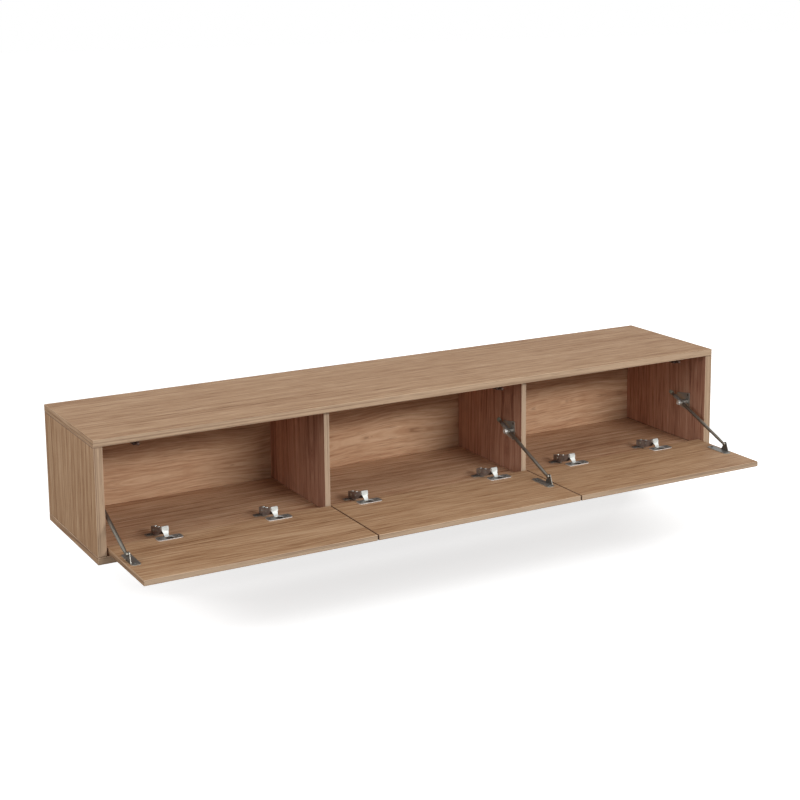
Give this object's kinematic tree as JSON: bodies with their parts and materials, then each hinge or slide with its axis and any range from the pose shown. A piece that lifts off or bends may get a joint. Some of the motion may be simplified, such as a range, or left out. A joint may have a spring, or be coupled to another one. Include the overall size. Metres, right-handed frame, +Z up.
{
  "type": "floating media console",
  "caption": "Wall-hung media console in oak veneer, long low carcass in compartments closed by drop-down flaps on concealed hinges with sliding flap stays and push latches, flaps open.",
  "frame": {"origin": "on the wall, at the middle of the wall rail, halfway along the cabinet", "axes": "+X along the cabinet to the right as seen from its front, +Y from the front to the wall, +Z up"},
  "size_m": [1.8, 0.6168, 0.3],
  "materials": {
    "oak_veneer": "matt clear-lacquered oak veneer",
    "oak_inner": "matt clear-lacquered oak veneer",
    "oak_flap": "matt clear-lacquered oak veneer",
    "nickel": "satin nickel plate",
    "bright_nickel": "bright nickel plate",
    "zinc_steel": "zinc-plated sheet steel",
    "grey_plastic": "moulded, fine matt texture"
  },
  "bodies": {
    "cabinet": {"top_panel": "oak_veneer", "bottom_panel": "oak_veneer", "left_end_panel": "oak_veneer", "right_end_panel": "oak_veneer", "left_divider": "oak_inner", "right_divider": "oak_inner", "back_panel": "oak_inner", "cabinet_rail": "zinc_steel", "wall_rail": "zinc_steel", "left_hinge_a_mounting_plate": "nickel", "left_hinge_a_arm": "nickel", "left_hinge_b_mounting_plate": "nickel", "left_hinge_b_arm": "nickel", "left_stay_panel_bracket": "nickel", "left_latch_housing": "grey_plastic", "middle_hinge_a_mounting_plate": "nickel", "middle_hinge_a_arm": "nickel", "middle_hinge_b_mounting_plate": "nickel", "middle_hinge_b_arm": "nickel", "middle_stay_panel_bracket": "nickel", "middle_latch_housing": "grey_plastic", "right_hinge_a_mounting_plate": "nickel", "right_hinge_a_arm": "nickel", "right_hinge_b_mounting_plate": "nickel", "right_hinge_b_arm": "nickel", "right_stay_panel_bracket": "nickel", "right_latch_housing": "grey_plastic"},
    "left_flap_group": {"left_flap": "oak_flap", "left_hinge_a_cup": "nickel", "left_hinge_b_cup": "nickel", "left_stay_flap_bracket": "nickel"},
    "left_link_a_group": {"left_hinge_a_link": "bright_nickel"},
    "left_link_b_group": {"left_hinge_b_link": "bright_nickel"},
    "left_rod_group": {"left_stay_rod": "nickel"},
    "left_sleeve_group": {"left_stay_sleeve": "nickel", "left_stay_knob": "bright_nickel"},
    "left_plunger_group": {"left_latch_plunger": "grey_plastic"},
    "middle_flap_group": {"middle_flap": "oak_flap", "middle_hinge_a_cup": "nickel", "middle_hinge_b_cup": "nickel", "middle_stay_flap_bracket": "nickel"},
    "middle_link_a_group": {"middle_hinge_a_link": "bright_nickel"},
    "middle_link_b_group": {"middle_hinge_b_link": "bright_nickel"},
    "middle_rod_group": {"middle_stay_rod": "nickel"},
    "middle_sleeve_group": {"middle_stay_sleeve": "nickel", "middle_stay_knob": "bright_nickel"},
    "middle_plunger_group": {"middle_latch_plunger": "grey_plastic"},
    "right_flap_group": {"right_flap": "oak_flap", "right_hinge_a_cup": "nickel", "right_hinge_b_cup": "nickel", "right_stay_flap_bracket": "nickel"},
    "right_link_a_group": {"right_hinge_a_link": "bright_nickel"},
    "right_link_b_group": {"right_hinge_b_link": "bright_nickel"},
    "right_rod_group": {"right_stay_rod": "nickel"},
    "right_sleeve_group": {"right_stay_sleeve": "nickel", "right_stay_knob": "bright_nickel"},
    "right_plunger_group": {"right_latch_plunger": "grey_plastic"}
  },
  "joints": [
    {"name": "left_flap_hinge", "type": "hinge", "parent": "cabinet", "child": "left_flap_group", "pos_m": [-0.58367, -0.369, -0.17437], "axis": [-1, 0, 0], "range_deg": [0, 90]},
    {"name": "left_link_a_pivot", "type": "hinge", "parent": "cabinet", "child": "left_link_a_group", "pos_m": [-0.72767, -0.3544, -0.1511], "axis": [1, 0, 0], "range_deg": [0, 4.8]},
    {"name": "left_link_b_pivot", "type": "hinge", "parent": "cabinet", "child": "left_link_b_group", "pos_m": [-0.44467, -0.3544, -0.1511], "axis": [1, 0, 0], "range_deg": [0, 4.8]},
    {"name": "left_rod_pivot", "type": "hinge", "parent": "left_flap_group", "child": "left_rod_group", "pos_m": [-0.8696, -0.493, -0.14837], "axis": [1, 0, 0], "range_deg": [0, 40.04]},
    {"name": "left_sleeve_slide", "type": "slide", "parent": "left_rod_group", "child": "left_sleeve_group", "axis": [0, -0.9272, -0.3746], "range_m": [0, 0.15964]},
    {"name": "left_plunger_slide", "type": "slide", "parent": "cabinet", "child": "left_plunger_group", "axis": [0, 1, 0], "range_m": [0, 0.012]},
    {"name": "middle_flap_hinge", "type": "hinge", "parent": "cabinet", "child": "middle_flap_group", "pos_m": [0, -0.369, -0.17437], "axis": [-1, 0, 0], "range_deg": [0, 90]},
    {"name": "middle_link_a_pivot", "type": "hinge", "parent": "cabinet", "child": "middle_link_a_group", "pos_m": [-0.1955, -0.3544, -0.1511], "axis": [1, 0, 0], "range_deg": [0, 4.8]},
    {"name": "middle_link_b_pivot", "type": "hinge", "parent": "cabinet", "child": "middle_link_b_group", "pos_m": [0.1905, -0.3544, -0.1511], "axis": [1, 0, 0], "range_deg": [0, 4.8]},
    {"name": "middle_rod_pivot", "type": "hinge", "parent": "middle_flap_group", "child": "middle_rod_group", "pos_m": [0.27133, -0.493, -0.14837], "axis": [1, 0, 0], "range_deg": [0, 40.04]},
    {"name": "middle_sleeve_slide", "type": "slide", "parent": "middle_rod_group", "child": "middle_sleeve_group", "axis": [0, -0.9272, -0.3746], "range_m": [0, 0.15964]},
    {"name": "middle_plunger_slide", "type": "slide", "parent": "cabinet", "child": "middle_plunger_group", "axis": [0, 1, 0], "range_m": [0, 0.012]},
    {"name": "right_flap_hinge", "type": "hinge", "parent": "cabinet", "child": "right_flap_group", "pos_m": [0.58367, -0.369, -0.17437], "axis": [-1, 0, 0], "range_deg": [0, 90]},
    {"name": "right_link_a_pivot", "type": "hinge", "parent": "cabinet", "child": "right_link_a_group", "pos_m": [0.43967, -0.3544, -0.1511], "axis": [1, 0, 0], "range_deg": [0, 4.8]},
    {"name": "right_link_b_pivot", "type": "hinge", "parent": "cabinet", "child": "right_link_b_group", "pos_m": [0.72267, -0.3544, -0.1511], "axis": [1, 0, 0], "range_deg": [0, 4.8]},
    {"name": "right_rod_pivot", "type": "hinge", "parent": "right_flap_group", "child": "right_rod_group", "pos_m": [0.8573, -0.493, -0.14837], "axis": [1, 0, 0], "range_deg": [0, 40.04]},
    {"name": "right_sleeve_slide", "type": "slide", "parent": "right_rod_group", "child": "right_sleeve_group", "axis": [0, -0.9272, -0.3746], "range_m": [0, 0.15964]},
    {"name": "right_plunger_slide", "type": "slide", "parent": "cabinet", "child": "right_plunger_group", "axis": [0, 1, 0], "range_m": [0, 0.012]}
  ],
  "couplings": [
    {"joint": "left_link_a_pivot", "follows": "left_flap_hinge", "ratio": 0.053333},
    {"joint": "left_link_b_pivot", "follows": "left_flap_hinge", "ratio": 0.053333},
    {"joint": "left_rod_pivot", "follows": "left_flap_hinge", "ratio": 0.44492},
    {"joint": "left_sleeve_slide", "follows": "left_flap_hinge", "m_per_rad": 0.10163},
    {"joint": "left_plunger_slide", "follows": "left_flap_hinge", "m_per_rad": 0.007639},
    {"joint": "middle_link_a_pivot", "follows": "middle_flap_hinge", "ratio": 0.053333},
    {"joint": "middle_link_b_pivot", "follows": "middle_flap_hinge", "ratio": 0.053333},
    {"joint": "middle_rod_pivot", "follows": "middle_flap_hinge", "ratio": 0.44492},
    {"joint": "middle_sleeve_slide", "follows": "middle_flap_hinge", "m_per_rad": 0.10163},
    {"joint": "middle_plunger_slide", "follows": "middle_flap_hinge", "m_per_rad": 0.007639},
    {"joint": "right_link_a_pivot", "follows": "right_flap_hinge", "ratio": 0.053333},
    {"joint": "right_link_b_pivot", "follows": "right_flap_hinge", "ratio": 0.053333},
    {"joint": "right_rod_pivot", "follows": "right_flap_hinge", "ratio": 0.44492},
    {"joint": "right_sleeve_slide", "follows": "right_flap_hinge", "m_per_rad": 0.10163},
    {"joint": "right_plunger_slide", "follows": "right_flap_hinge", "m_per_rad": 0.007639}
  ]
}
